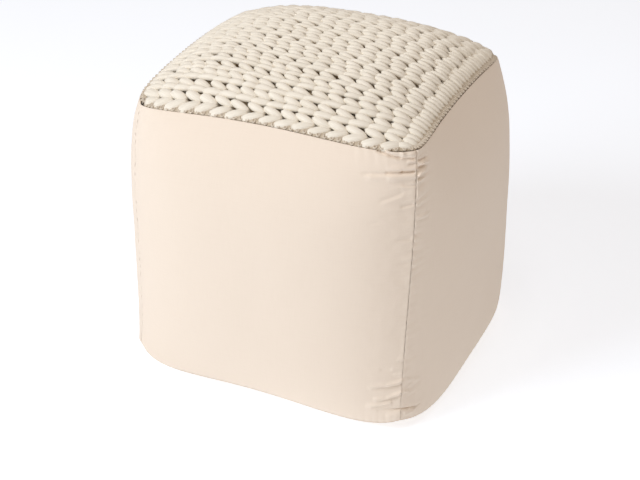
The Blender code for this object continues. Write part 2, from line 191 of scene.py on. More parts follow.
# Creases: a ridge has a height above the cloth, and a groove one below it. One on the
# front panel fades in from its first end, and one on the right panel starts faint at
# the seam and fades out at its far end.
CREASE_FADE = 4
SEAM_END_FADE = 6
SEAM_END_STRENGTH = 0.3
Crease = namedtuple("Crease", "panel across_1 up_1 across_2 up_2 half_width height")
CREASES = (
    # The big crease under the knit's front right corner, dark above and bright below
    Crease("front_panel", 0.640, 0.925, 0.805, 0.932, 0.0018, -0.0013),
    Crease("front_panel", 0.790, 0.932, 0.905, 0.934, 0.0018, -0.0028),
    Crease("front_panel", 0.890, 0.934, 0.985, 0.933, 0.0016, -0.0032),
    Crease("front_panel", 0.660, 0.914, 0.820, 0.920, 0.0035, 0.0014),
    Crease("front_panel", 0.800, 0.920, 0.985, 0.921, 0.0035, 0.0025),
    Crease("front_panel", 0.800, 0.946, 0.985, 0.946, 0.0040, 0.0016),
    # The fold pulled up under the corner of the knit
    Crease("front_panel", 0.748, 1.000, 0.776, 0.996, 0.0016, -0.0038),
    Crease("front_panel", 0.774, 0.998, 0.832, 0.988, 0.0016, -0.0038),
    Crease("front_panel", 0.832, 0.988, 0.894, 0.980, 0.0015, -0.0032),
    Crease("front_panel", 0.894, 0.980, 0.985, 0.974, 0.0014, -0.0018),
    Crease("front_panel", 0.800, 1.002, 0.900, 0.994, 0.0036, 0.0038),
    Crease("front_panel", 0.890, 0.994, 0.985, 0.988, 0.0038, 0.0035),
    Crease("front_panel", 0.936, 0.968, 0.995, 0.969, 0.0018, 0.0013),
    Crease("front_panel", 0.940, 0.957, 0.985, 0.958, 0.0014, -0.0010),
    # Lighter creases further down beside the same seam
    Crease("front_panel", 0.900, 0.892, 0.990, 0.886, 0.0014, -0.0012),
    Crease("front_panel", 0.890, 0.884, 0.990, 0.878, 0.0024, 0.0009),
    Crease("front_panel", 0.740, 0.838, 0.898, 0.864, 0.0024, -0.0009),
    Crease("front_panel", 0.750, 0.830, 0.905, 0.856, 0.0030, 0.0006),
    Crease("front_panel", 0.888, 0.817, 0.975, 0.823, 0.0018, -0.0010),
    Crease("front_panel", 0.680, 0.762, 0.750, 0.772, 0.0022, -0.0004),
    Crease("front_panel", 0.860, 0.704, 0.975, 0.700, 0.0022, -0.0006),
    Crease("front_panel", 0.930, 0.243, 0.998, 0.241, 0.0024, 0.0009),
    Crease("front_panel", 0.790, 0.214, 0.880, 0.211, 0.0024, -0.0006),
    Crease("front_panel", 0.905, 0.186, 0.998, 0.183, 0.0022, 0.0009),
    # The creases at the foot
    Crease("front_panel", 0.705, 0.148, 0.860, 0.150, 0.0030, 0.0013),
    Crease("front_panel", 0.850, 0.150, 0.997, 0.154, 0.0026, 0.0026),
    Crease("front_panel", 0.740, 0.138, 0.990, 0.139, 0.0024, -0.0014),
    Crease("front_panel", 0.745, 0.096, 0.865, 0.099, 0.0030, 0.0014),
    Crease("front_panel", 0.855, 0.099, 0.997, 0.111, 0.0026, 0.0025),
    Crease("front_panel", 0.780, 0.085, 0.990, 0.096, 0.0022, -0.0013),
    Crease("front_panel", 0.690, 0.071, 0.890, 0.080, 0.0030, 0.0017),
    Crease("front_panel", 0.740, 0.062, 0.880, 0.068, 0.0018, -0.0010),
    # The short tuck sewn across the foot of the corner
    Crease("front_panel", 0.780, 0.050, 0.845, 0.055, 0.0012, -0.0009),
    Crease("front_panel", 0.840, 0.055, 0.925, 0.049, 0.0012, -0.0017),
    Crease("front_panel", 0.920, 0.049, 1.000, 0.043, 0.0012, -0.0023),
    Crease("front_panel", 0.850, 0.030, 0.990, 0.026, 0.0036, 0.0014),
    Crease("right_panel", -1.000, 0.043, -0.895, 0.043, 0.0012, -0.0029),
    Crease("right_panel", -0.900, 0.043, -0.834, 0.041, 0.0012, -0.0025),
    Crease("right_panel", -0.838, 0.041, -0.800, 0.048, 0.0012, -0.0014),
    Crease("right_panel", -0.980, 0.026, -0.850, 0.026, 0.0034, 0.0016),
    Crease("right_panel", -0.983, 0.110, -0.915, 0.110, 0.0020, 0.0014),
    Crease("right_panel", -0.965, 0.158, -0.810, 0.148, 0.0026, 0.0007),
    # The puckers that rise from the seam round on to the right side
    Crease("right_panel", -0.985, 0.968, -0.760, 0.962, 0.0015, -0.0023),
    Crease("right_panel", -0.985, 0.958, -0.755, 0.946, 0.0017, 0.0022),
    Crease("right_panel", -0.990, 0.944, -0.820, 0.940, 0.0014, -0.0021),
    Crease("right_panel", -0.992, 0.918, -0.810, 0.928, 0.0016, 0.0024),
    Crease("right_panel", -0.985, 0.906, -0.840, 0.908, 0.0014, -0.0016),
    Crease("right_panel", -0.980, 0.773, -0.785, 0.780, 0.0018, 0.0011),
    Crease("right_panel", -0.985, 0.762, -0.800, 0.765, 0.0014, -0.0007),
)

# Where each panel's points lie: evenly by a step up to each stop
Stop = namedtuple("Stop", "place step")
SMOOTH_ACROSS = (Stop(-1, 0), Stop(-0.97, 0.004), Stop(-0.9, 0.010), Stop(0.9, 0.022),
                 Stop(0.97, 0.010), Stop(1, 0.004))
CREASED_AT_RIGHT = (Stop(-1, 0), Stop(-0.97, 0.004), Stop(-0.9, 0.010), Stop(0.6, 0.024),
                    Stop(0.96, 0.0068), Stop(1, 0.004))
CREASED_AT_LEFT = (Stop(-1, 0), Stop(-0.96, 0.004), Stop(-0.72, 0.0068), Stop(0.9, 0.024),
                   Stop(0.97, 0.010), Stop(1, 0.004))
SMOOTH_UP = (Stop(0, 0), Stop(0.02, 0.003), Stop(0.08, 0.008), Stop(0.92, 0.018),
             Stop(0.98, 0.008), Stop(1, 0.003))
CREASED_UP = (Stop(0, 0), Stop(0.25, 0.0036), Stop(0.56, 0.006), Stop(1, 0.0036))

Panel = namedtuple("Panel", "node quarter acrosses ups wide tall")
PANELS = (
    Panel("front_panel", 0, CREASED_AT_RIGHT, CREASED_UP, 0.384, 0.377),
    Panel("right_panel", 1, CREASED_AT_LEFT, CREASED_UP, 0.361, 0.379),
    Panel("back_panel", 2, SMOOTH_ACROSS, SMOOTH_UP, 0.378, 0.378),
    Panel("left_panel", 3, SMOOTH_ACROSS, SMOOTH_UP, 0.363, 0.379),
)
# The cotton's light and dark ends: the dark one gives the slubs' and cloudy tint's darker tone,
# and painted shade in the dips of the weave
COTTON_LIGHT = (0.84, 0.72, 0.595, 1)
COTTON_DARK = (0.72, 0.59, 0.465, 1)
COTTON_TINT = 0.12
THREADS_PER_METRE = 1100


def swell_of(up, foot, middle, top):
    """A size that runs from its foot value through its middle value to its top value."""
    end = np.where(up > 0.5, top, foot)
    power = np.where(up > 0.5, UPPER_SWELL_POWER, LOWER_SWELL_POWER)
    return end + (middle - end) * (1 - np.abs(2 * up - 1) ** power)


def side_place(quarter, across, up):
    """The face of the cloth on one side, at places across it and up it."""
    half_width = swell_of(up, SIDE_BASE_HALF_WIDTH, SIDE_HALF_WIDTH, SIDE_TOP_HALF_WIDTH)
    power = 1 / swell_of(up, 1 / BASE_POWER, 1 / MIDDLE_POWER, 1 / TOP_POWER)
    out = half_width * (1 + np.abs(across) ** power) ** (-1 / power)
    along = out * across
    turn = math.radians(90 * quarter)
    x = along * math.cos(turn) + out * math.sin(turn)
    y = (along * math.sin(turn) - out * math.cos(turn)) * DEPTH_RATIO
    pull = np.abs(across) ** CORNER_REACH
    right = CORNERS[quarter % 4]
    left = CORNERS[(quarter - 1) % 4]
    top_x, top_y, top_z, foot_x, foot_y, foot_z = (
        np.where(across > 0, one, other) for one, other in zip(right[1:], left[1:]))
    top = SEAM_HEIGHT + SEAM_LIFT * (1 - across ** 2) + pull * top_z
    foot = BASE_SEAM_MIDDLE + (BASE_SEAM_CORNER - BASE_SEAM_MIDDLE) * across ** 4
    foot = foot + pull * foot_z
    x = x + pull * (up * top_x + (1 - up) * foot_x)
    y = y + pull * (up * top_y + (1 - up) * foot_y)
    if quarter == 0:
        tuck = (1 - across ** 2) ** 2 * (1 - FRONT_TUCK_SKEW * across)
        foot = foot + FRONT_TUCK_UP * tuck
        y = y + FRONT_TUCK_BACK * tuck * (1 - up) ** FRONT_TUCK_POWER
    return np.stack((x, y, foot + (top - foot) * up), axis=-1)


def facing(placed, first, second, lowest=-1, hair=5e-4, step=1e-4):
    """The outward direction of a surface, from its slopes just inside its edges."""
    first = np.clip(first, hair - 1, 1 - hair)
    second = np.clip(second, lowest + hair, 1 - hair)
    along = placed(first + step, second) - placed(first - step, second)
    over = placed(first, second + step) - placed(first, second - step)
    out = np.cross(along, over)
    return out / np.linalg.norm(out, axis=-1, keepdims=True)


def places_between(stops):
    """Places from the first stop to the last, with each stretch's own step."""
    found = [stops[0].place]
    for before, stop in zip(stops, stops[1:]):
        count = max(1, round((stop.place - before.place) / stop.step))
        found += [before.place + (stop.place - before.place) * number / count
                  for number in range(1, count + 1)]
    return np.array(found)


def creased(name, across, up):
    """How far the creases of a panel stand out at each place."""
    right = across * SIDE_TOP_HALF_WIDTH
    height = up * SEAM_HEIGHT
    total = np.zeros_like(right)
    for crease in (crease for crease in CREASES if crease.panel == name):
        start = (crease.across_1 * SIDE_TOP_HALF_WIDTH, crease.up_1 * SEAM_HEIGHT)
        run = (crease.across_2 * SIDE_TOP_HALF_WIDTH - start[0],
               crease.up_2 * SEAM_HEIGHT - start[1])
        long = math.hypot(*run)
        share = ((right - start[0]) * run[0] + (height - start[1]) * run[1]) / long ** 2
        near = np.clip(share, 0, 1)
        away = np.hypot(right - start[0] - near * run[0], height - start[1] - near * run[1])
        fade = np.clip(CREASE_FADE * near, 0, 1)
        if crease.panel == "right_panel":
            fade = np.clip(CREASE_FADE * (1 - near), 0, 1)
            fade *= np.clip(SEAM_END_STRENGTH + SEAM_END_FADE * near, 0, 1)
        total += crease.height * fade * np.exp(-((away / crease.half_width) ** 2))
    return total


def seam_sink(distance, depth):
    """The cloth near a seam: it sinks into the seam, behind a low lip."""
    sink = -depth * np.exp(-((distance / SEAM_HALF_WIDTH) ** 2))
    return sink + SEAM_LIP * np.exp(-(((distance - LIP_PLACE) / LIP_HALF_WIDTH) ** 2))


def gathers(distance, along, shift):
    """Small even ripples that die away from a seam."""
    uneven = GATHER_UNEVENNESS * np.sin(along * GATHER_CHANGES + shift)
    ripple = np.sin(2 * math.pi * along / GATHER_PITCH + uneven)
    return GATHER_HEIGHT * ripple * np.exp(-distance / GATHER_REACH)


def noise_at(points, size, shift):
    """Smooth noise from -1 to 1 at each point."""
    return np.array([noise.noise(Vector(point) / size + Vector((shift, 0, 0)))
                     for point in points.reshape(-1, 3)]).reshape(points.shape[:-1])


def puckered(name, away, height, up):
    """Fine uneven wrinkles beside a seam, strongest close to it and near its top."""
    climb = height - PUCKER_SLOPE[name] * away
    spots = np.stack((away / PUCKER_LENGTH, climb / PUCKER_PITCH, np.zeros_like(away)), -1)
    wrinkle = PUCKER_CREST - PUCKER_SHARPNESS * np.abs(noise_at(spots, 1, PUCKER_SHIFT))
    strength = np.interp(up, *zip(*PUCKER_STRENGTH))
    fade = np.exp(-((away / PUCKER_REACH) ** 2)) * np.clip(away / PUCKER_START, 0, 1)
    return PUCKER_HEIGHT[name] * strength * fade * wrinkle


def sheet_object(name, points, flat, thickness, finish):
    """A thin sheet over a grid of points, with its flat places as its UV map."""
    rows, columns = points.shape[:2]
    index = np.arange(rows * columns).reshape(rows, columns)
    faces = np.stack((index[:-1, :-1], index[:-1, 1:], index[1:, 1:], index[1:, :-1]), -1)
    made_mesh = bpy.data.meshes.new(name)
    made_mesh.from_pydata(points.reshape(-1, 3).tolist(), [], faces.reshape(-1, 4).tolist())
    made = bpy.data.objects.new(name, made_mesh)
    bpy.context.scene.collection.objects.link(made)
    made_mesh.materials.append(finish)
    layer = made_mesh.uv_layers.new(name="flat cloth")
    layer.data.foreach_set("uv", flat.reshape(-1, 2)[faces.reshape(-1)].astype(
        np.float32).ravel())
    made_mesh.shade_smooth()
    bpy.ops.object.select_all(action="DESELECT")
    bpy.context.view_layer.objects.active = made
    made.select_set(True)
    solid = made.modifiers.new("cloth thickness", "SOLIDIFY")
    solid.thickness = thickness
    solid.offset = -1
    bpy.ops.object.modifier_apply(modifier="cloth thickness")
    bpy.ops.object.mode_set(mode="EDIT")
    bpy.ops.mesh.select_all(action="DESELECT")
    bpy.ops.mesh.edges_select_sharp(sharpness=RIM_ANGLE)
    bpy.ops.mesh.mark_sharp()
    bpy.ops.object.mode_set(mode="OBJECT")
    return made


# The weave: warp over weft, each thread a little uneven, with a slub here and there.
# It gives a height over the flat cloth, and a colour mask that is painted shade in the
# dips between the threads, mixed with the slubs' own tone. Each cloth sets its own threads to
# the metre.
THREAD_SWAY = 0.004
SLUB_LONG = 38
SLUB_FINE = 620
# Shares of the colour mask: painted shade from the threads' dips, and the slubs' own tone
THREAD_PAINTED_SHADE = 0.45
SLUB_TONE = 0.55
THREAD_RELIEF = 0.6
SLUB_RELIEF = 0.8

weave = bpy.data.node_groups.new("plain weave", "ShaderNodeTree")
weave.interface.new_socket("Flat place", in_out="INPUT", socket_type="NodeSocketVector")
weave.interface.new_socket("Threads per metre", in_out="INPUT", socket_type="NodeSocketFloat")
weave.interface.new_socket("Painted shade and slubs", in_out="OUTPUT", socket_type="NodeSocketFloat")
weave.interface.new_socket("Height", in_out="OUTPUT", socket_type="NodeSocketFloat")
nodes = weave.nodes
links = weave.links
given = nodes.new("NodeGroupInput")
result = nodes.new("NodeGroupOutput")


def maths(tree, operation, *inputs):
    """One step of sums in a node tree, from sockets or plain numbers."""
    step = tree.nodes.new("ShaderNodeMath")
    step.operation = operation
    for socket, value in zip(step.inputs, inputs):
        if isinstance(value, (int, float)):
            socket.default_value = value
        else:
            tree.links.new(value, socket)
    return step.outputs[0]


waver = nodes.new("ShaderNodeTexNoise")
waver.inputs["Scale"].default_value = 60
waver.inputs["Detail"].default_value = 2
links.new(given.outputs["Flat place"], waver.inputs["Vector"])
split = nodes.new("ShaderNodeSeparateXYZ")
links.new(given.outputs["Flat place"], split.inputs[0])
sway = maths(weave, "MULTIPLY", maths(weave, "SUBTRACT", waver.outputs["Fac"], 0.5),
             THREAD_SWAY)
warp_turn = maths(weave, "MULTIPLY", maths(weave, "ADD", split.outputs["X"], sway),
                  maths(weave, "MULTIPLY", given.outputs["Threads per metre"], math.pi))
weft_turn = maths(weave, "MULTIPLY", maths(weave, "SUBTRACT", split.outputs["Y"], sway),
                  maths(weave, "MULTIPLY", given.outputs["Threads per metre"], math.pi))
warp = maths(weave, "ABSOLUTE", maths(weave, "SINE", warp_turn))
weft = maths(weave, "ABSOLUTE", maths(weave, "SINE", weft_turn))
over = maths(weave, "MULTIPLY", maths(weave, "SINE", warp_turn), maths(weave, "SINE", weft_turn))
over = maths(weave, "ADD", maths(weave, "MULTIPLY", over, 0.5), 0.5)
threads_height = maths(weave, "ADD", maths(weave, "MULTIPLY", warp, over),
                       maths(weave, "MULTIPLY", weft, maths(weave, "SUBTRACT", 1.0, over)))
slubs = []
for stretch in ((SLUB_LONG, SLUB_FINE, 1), (SLUB_FINE, SLUB_LONG, 1)):
    long_way = nodes.new("ShaderNodeMapping")
    long_way.inputs["Scale"].default_value = stretch
    links.new(given.outputs["Flat place"], long_way.inputs["Vector"])
    slub = nodes.new("ShaderNodeTexNoise")
    slub.inputs["Scale"].default_value = 1
    slub.inputs["Detail"].default_value = 3
    links.new(long_way.outputs["Vector"], slub.inputs["Vector"])
    slubs.append(slub.outputs["Fac"])
slub_mask = maths(weave, "MULTIPLY", maths(weave, "ADD", *slubs), 0.5)
# The colour mask is painted shade where the threads dip, plus the slubs' tone; the height is the
# threads and slubs as relief
for name, thread_share, slub_share in (
        ("Painted shade and slubs", THREAD_PAINTED_SHADE, SLUB_TONE), ("Height", THREAD_RELIEF, SLUB_RELIEF)):
    from_threads = maths(weave, "MULTIPLY", threads_height, thread_share)
    from_slubs = maths(weave, "MULTIPLY", slub_mask, slub_share)
    links.new(maths(weave, "ADD", from_threads, from_slubs), result.inputs[name])

cotton = bpy.data.materials.new("cream woven cotton")
cotton.use_nodes = True
nodes = cotton.node_tree.nodes
links = cotton.node_tree.links
shader = nodes["Principled BSDF"]
shader.inputs["Roughness"].default_value = 0.88
shader.inputs["Sheen Weight"].default_value = 0.12
shader.inputs["Sheen Roughness"].default_value = 0.6
shader.inputs["Specular IOR Level"].default_value = 0.25
cloth_map = nodes.new("ShaderNodeUVMap")
cloth_map.uv_map = "flat cloth"
woven = nodes.new("ShaderNodeGroup")
woven.node_tree = weave
woven.inputs["Threads per metre"].default_value = THREADS_PER_METRE
tint = nodes.new("ShaderNodeTexNoise")
tint.inputs["Scale"].default_value = 7
tint.inputs["Detail"].default_value = 2
thread_colour_and_painted_shade = nodes.new("ShaderNodeMix")
thread_colour_and_painted_shade.data_type = "RGBA"
thread_colour_and_painted_shade.inputs["A"].default_value = COTTON_DARK
thread_colour_and_painted_shade.inputs["B"].default_value = COTTON_LIGHT
depth_of_shade = nodes.new("ShaderNodeMapRange")
depth_of_shade.inputs["From Min"].default_value = 0.15
depth_of_shade.inputs["From Max"].default_value = 0.55
depth_of_shade.inputs["To Min"].default_value = 0.45
depth_of_shade.inputs["To Max"].default_value = 1.0
cloudy = maths(cotton.node_tree, "SUBTRACT", tint.outputs["Fac"], 0.5)
cloudy = maths(cotton.node_tree, "MULTIPLY", cloudy, COTTON_TINT)
# The weave's painted shade in its dips and its slubs' tone, with the cotton's own cloudy tint
painted_shade_and_tint = maths(cotton.node_tree, "ADD", woven.outputs["Painted shade and slubs"], cloudy)
relief = nodes.new("ShaderNodeBump")
relief.inputs["Strength"].default_value = 0.6
relief.inputs["Distance"].default_value = 0.00025
links.new(cloth_map.outputs["UV"], woven.inputs["Flat place"])
links.new(cloth_map.outputs["UV"], tint.inputs["Vector"])
links.new(painted_shade_and_tint, depth_of_shade.inputs["Value"])
links.new(depth_of_shade.outputs["Result"], thread_colour_and_painted_shade.inputs["Factor"])
links.new(thread_colour_and_painted_shade.outputs["Result"], shader.inputs["Base Color"])
links.new(woven.outputs["Height"], relief.inputs["Height"])
links.new(relief.outputs["Normal"], shader.inputs["Normal"])

for panel in PANELS:
    acrosses = places_between(panel.acrosses)
    ups = places_between(panel.ups)
    across, up = np.meshgrid(acrosses, ups)
    beside = SEAM_PARTING / SIDE_TOP_HALF_WIDTH
    across = np.clip(across, beside - 1, 1 - beside)
    up = np.clip(up, SEAM_PARTING / SEAM_HEIGHT, 1 - SEAM_PARTING / SEAM_HEIGHT)

    def on_side(across, up, quarter=panel.quarter):
        return side_place(quarter, across, up)

    points = on_side(across, up)
    from_side_seam = (1 - np.abs(across)) * SIDE_TOP_HALF_WIDTH
    from_top_seam = (1 - up) * SEAM_HEIGHT
    from_base_seam = up * SEAM_HEIGHT
    stand = creased(panel.node, across, up)
    stand += seam_sink(from_side_seam, SIDE_SEAM_DEPTH)
    stand += seam_sink(from_base_seam, BASE_SEAM_DEPTH)
    stand += seam_sink(from_top_seam, TOP_SEAM_DEPTH)
    stand += gathers(from_side_seam, points[..., 2], panel.quarter)
    stand += gathers(from_top_seam, across * SIDE_TOP_HALF_WIDTH, panel.quarter)
    stand += gathers(from_base_seam, across * SIDE_TOP_HALF_WIDTH, 2 + panel.quarter)
    fade = np.clip(np.minimum.reduce((from_side_seam, from_top_seam, from_base_seam))
                   / LUMP_FADE, 0, 1)
    stand += LUMP_HEIGHT * fade * noise_at(points, LUMP_SIZE, panel.quarter)
    mottle = noise_at(points, MOTTLE_SIZE, MOTTLE_SHIFT)
    stand += MOTTLE_HEIGHT * mottle * np.exp(-from_side_seam / MOTTLE_REACH)
    if panel.node in PUCKER_HEIGHT:
        corner = 1 - across if panel.node == "front_panel" else 1 + across
        stand += puckered(panel.node, corner * SIDE_TOP_HALF_WIDTH, points[..., 2], up)
    points = points + facing(on_side, across, up, lowest=0) * stand[..., None]
    flat = np.stack((across * panel.wide / 2, up * panel.tall), -1)
    cloth = sheet_object(panel.node + "_cloth", points, flat, COTTON_THICKNESS, cotton)
    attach(cloth, "root")
    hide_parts(panel.node)

# The base: one piece of the same cotton, sewn to the four sides just above the floor.
# The weight of the filling holds it flat, and its rim curves up to the seam.
BASE_FLAT_SHARE = 0.82
BASE_SHARES = (Stop(0.0, 0), Stop(0.8, 0.08), Stop(0.96, 0.02), Stop(1.0, 0.004))
BASE_STEPS = 60
BASE_MIDDLE_SHARE = 0.0005

shares = places_between(BASE_SHARES)
shares = np.clip(shares, BASE_MIDDLE_SHARE, 1 - 2 * SEAM_PARTING / SIDE_BASE_HALF_WIDTH)
rings = []
for quarter in range(4):
    acrosses = np.linspace(-1, 1, BASE_STEPS + 1)[:-1]
    rings.append(side_place(quarter, acrosses, np.zeros_like(acrosses)))
seam = np.concatenate(rings + [rings[0][:1]])
rise = np.clip((shares - BASE_FLAT_SHARE) / (1 - BASE_FLAT_SHARE), 0, None) ** 2
points = np.stack([np.stack((seam[:, 0] * share, seam[:, 1] * share, seam[:, 2] * up), -1)
                   for share, up in zip(shares, rise)])
away = (1 - shares) * SIDE_BASE_HALF_WIDTH
points[..., 2] -= seam_sink(away, BASE_SEAM_DEPTH)[:, None] * rise[:, None]
base = sheet_object("base_panel_cloth", points, points[..., :2].copy(), COTTON_THICKNESS,
                    cotton)
bpy.ops.object.mode_set(mode="EDIT")
bpy.ops.mesh.select_all(action="SELECT")
bpy.ops.mesh.remove_doubles(threshold=MERGE_DISTANCE)
bpy.ops.object.mode_set(mode="OBJECT")
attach(base, "root")
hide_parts("base_panel")

# The knitted top: thick, soft, matte yarn in plain stockinette, pulled over the crown
# and caught in the seam. Its chains run from left to right, side by side to the back.
# Two legs make each stitch, and the legs at the rim run on into the seam.
CROWN = 0.053
CROWN_POWER = 2.8
KNIT_SETBACK = 0.0052
STITCHES = 17
CHAINS = 19
LEG_HALF_HEIGHT = 0.0042
LEG_CENTRE = -0.0008
LEG_BLUNTNESS = 0.5
LEG_TAPER = 0.18
LEG_YARN_LENGTH = 0.03
SHOULDER_POWER = 5
TAIL_POWER = 2.4
WANDER = 0.045
LIFT_WANDER = 0.0004
LEAST_WIDTH = 0.93
MOST_WIDTH = 1.07
MOST_STRAND = 40
STRAY_AHEAD = 0.18
STRAY_ASIDE = 0.05
CHAIN_STRAY = 0.03
AHEAD_TURNS = (0.7, 2.3)
ASIDE_TURNS = (0.8, 0.9)
CHAIN_TURN = 2.6
LUCK_SEED = 11
YARN_LIGHT = (0.89, 0.825, 0.71, 1)
YARN_DARK = (0.71, 0.63, 0.505, 1)
FIBRE_SHARE = 0.7
DYE_SHARE = 0.3
knit_edge = 1 - KNIT_SETBACK / SIDE_TOP_HALF_WIDTH

# A leg runs from its shoulder at the chain's edge to its tail at the chain's middle. Its
# run is in stitches, its place across in chains, and its sinking ends in metres.
Leg = namedtuple("Leg", "side start end outer inner bend half_width shoulder tail")
UPPER_LEG = Leg(1, 0.02, 1.38, 0.48, 0.00, 1.4, 0.0054, 0.0014, 0.0040)
LOWER_LEG = Leg(-1, 0.00, 1.48, 0.32, 0.19, 1.0, 0.0049, 0.0014, 0.0032)
FULL_LEG = Leg(1, 0.02, 1.40, 0.44, 0.02, 1.5, 0.0059, 0.0016, 0.0040)
FULL_LOWER_LEG = Leg(-1, 0.00, 1.48, 0.36, 0.22, 1.0, 0.0057, 0.0014, 0.0032)
FRONT_LEG = Leg(-1, 0.00, 1.45, 0.66, 0.04, 1.0, 0.0064, 0.0020, 0.0036)
BACK_LEG = Leg(1, 0.03, 1.42, 0.62, 0.12, 1.0, 0.0056, 0.0020, 0.0036)
LAST_LEGS = (Leg(1, -0.02, 1.21, 0.44, 0.06, 1.2, 0.0052, 0.0022, 0.0034),
             Leg(-1, -0.10, 1.21, 0.20, 0.44, 1.0, 0.0048, 0.0022, 0.0034))
FIRST_LEG_START = -0.26
SPREAD = 0.30
FULLNESS = 0.03
FULL_CHAINS = 3
SPREAD_CHAINS = 1.5
BOW_LEFT = 0.18
LEFT_BOW_END = 7.3
BOW_RIGHT = 0.22
RIGHT_BOW_START = 12.9
BOW_HOLD = 1.25
BOW_POWER = 1.5


def top_place(right, back, shrink):
    """The domed top, at places from -1 to 1 to the right and to the back."""
    both = np.abs(right * back)
    reach = shrink * SIDE_TOP_HALF_WIDTH * (1 + both ** TOP_POWER) ** (-1 / TOP_POWER)
    pull = shrink * both ** CORNER_REACH
    drawn = []
    for field in ("top_x", "top_y", "top_z"):
        front_right, back_right, back_left, front_left = (
            getattr(corner, field) for corner in CORNERS)
        drawn.append(np.where(back > 0, np.where(right > 0, back_right, back_left),
                              np.where(right > 0, front_right, front_left)))
    across = shrink * right
    deep = shrink * back
    lift = SEAM_LIFT * (deep ** 2 * (1 - across ** 2) + across ** 2 * (1 - deep ** 2))
    dome = CROWN * (1 - np.abs(across) ** CROWN_POWER) * (1 - np.abs(deep) ** CROWN_POWER)
    return np.stack((reach * right + pull * drawn[0],
                     reach * back * DEPTH_RATIO + pull * drawn[1],
                     SEAM_HEIGHT + lift + dome + pull * drawn[2]), axis=-1)


def on_knit(right, back):
    """The middle surface of the knit."""
    return top_place(right, back, knit_edge)


def strayed(place, line):
    """Hand tension: the chains stray a little from their even places, but not at the rim."""
    fade = np.clip(np.minimum(np.minimum(line, CHAINS - line), np.minimum(
        place, STITCHES - place)) / 2, 0, 1)
    aside = CHAIN_STRAY * np.sin(CHAIN_TURN * line + 1.0)
    aside += STRAY_ASIDE * np.sin(ASIDE_TURNS[0] * place + ASIDE_TURNS[1] * line)
    ahead = STRAY_AHEAD * np.sin(AHEAD_TURNS[0] * place + AHEAD_TURNS[1] * line)
    pulled = bow(place, line) * (1 - np.exp(-np.clip(line, 0, None)))
    return place + fade * ahead, line + fade * aside + pulled


def bow(place, line):
    """How far the chains bow to the back at both ends, less and less further back."""
    left = LEFT_BOW_END - place
    right = place - RIGHT_BOW_START
    rise = BOW_LEFT * (left + np.hypot(left, 1)) + BOW_RIGHT * (right + np.hypot(right, 1))
    return rise / 2 * np.clip(BOW_HOLD * (1 - line / CHAINS), 0, 1) ** BOW_POWER


# One leg, as a soft round lozenge that every leg is copied from
bpy.ops.object.select_all(action="DESELECT")
bpy.ops.mesh.primitive_uv_sphere_add(segments=8, ring_count=7, radius=1)
lozenge = bpy.context.object
leg_points = np.array([point.co for point in lozenge.data.vertices], float)
leg_faces = [tuple(face.vertices) for face in lozenge.data.polygons]
bpy.data.objects.remove(lozenge)
leg_along = 1 - np.arccos(np.clip(leg_points[:, 2], -1, 1)) / math.pi
leg_rings, leg_ring = np.unique(leg_along.round(5), return_inverse=True)
leg_turn = np.arctan2(leg_points[:, 1], leg_points[:, 0])
leg_round = np.sin(math.pi * leg_along) ** LEG_BLUNTNESS

luck = random.Random(LUCK_SEED)
points = []
faces = []
flat = []


def lay_leg(leg, chain, stitch):
    """Lay one leg of the knit, with the small unevenness of soft yarn."""
    start = stitch + leg.start + luck.uniform(-WANDER, WANDER)
    end = stitch + leg.end + luck.uniform(-WANDER, WANDER)
    if stitch == 0:
        start = FIRST_LEG_START
    stray = luck.uniform(-WANDER, WANDER)
    aside = leg.inner + (leg.outer - leg.inner) * (1 - leg_rings) ** leg.bend
    place = start + (end - start) * leg_rings
    place, line = strayed(place, chain + 0.5 + leg.side * (aside + stray))
    right = 2 * place / STITCHES - 1
    back = 2 * line / CHAINS - 1
    centre = on_knit(right, back)
    out = facing(on_knit, right, back)
    along = np.gradient(centre, axis=0)
    across = np.cross(out, along)
    across /= np.linalg.norm(across, axis=1, keepdims=True)
    lifted = LEG_CENTRE + luck.uniform(-LIFT_WANDER, LIFT_WANDER)
    lifted = lifted - leg.shoulder * (1 - leg_rings) ** SHOULDER_POWER
    lifted = lifted - leg.tail * leg_rings ** TAIL_POWER
    half_width = leg.half_width * luck.uniform(LEAST_WIDTH, MOST_WIDTH)
    half_width = half_width * (1 - LEG_TAPER * leg_along)
    spread = SPREAD * bow(stitch + 0.5, chain) + FULLNESS
    half_width *= 1 + spread * math.exp(-chain / SPREAD_CHAINS)
    sideways = leg_round * np.cos(leg_turn) * half_width
    upwards = leg_round * np.sin(leg_turn) * LEG_HALF_HEIGHT + lifted[leg_ring]
    first = len(points) * len(leg_points)
    points.append(centre[leg_ring] + across[leg_ring] * sideways[:, None]
                  + out[leg_ring] * upwards[:, None])
    faces.extend(tuple(first + number for number in face) for face in leg_faces)
    strand = luck.uniform(0, MOST_STRAND)
    flat.append(np.stack((leg_along * LEG_YARN_LENGTH + strand,
                          leg_turn * leg.half_width), -1))


for chain in range(CHAINS):
    for stitch in range(STITCHES - 1):
        upper = FULL_LEG if chain < FULL_CHAINS else UPPER_LEG
        lay_leg(BACK_LEG if chain == CHAINS - 1 else upper, chain, stitch)
        lower = FULL_LOWER_LEG if chain < FULL_CHAINS else LOWER_LEG
        lay_leg(FRONT_LEG if chain == 0 else lower, chain, stitch)
    for leg in LAST_LEGS:
        lay_leg(leg, chain, STITCHES - 1)

knit_mesh = bpy.data.meshes.new("knit_stitches")
knit_mesh.from_pydata(np.concatenate(points).tolist(), [], faces)
knit = bpy.data.objects.new("knit_stitches", knit_mesh)
bpy.context.scene.collection.objects.link(knit)
flat = np.concatenate(flat)
corners = np.empty(len(knit_mesh.loops), np.int32)
knit_mesh.loops.foreach_get("vertex_index", corners)
layer = knit_mesh.uv_layers.new(name="along the yarn")
layer.data.foreach_set("uv", flat[corners].astype(np.float32).ravel())
knit_mesh.shade_smooth()

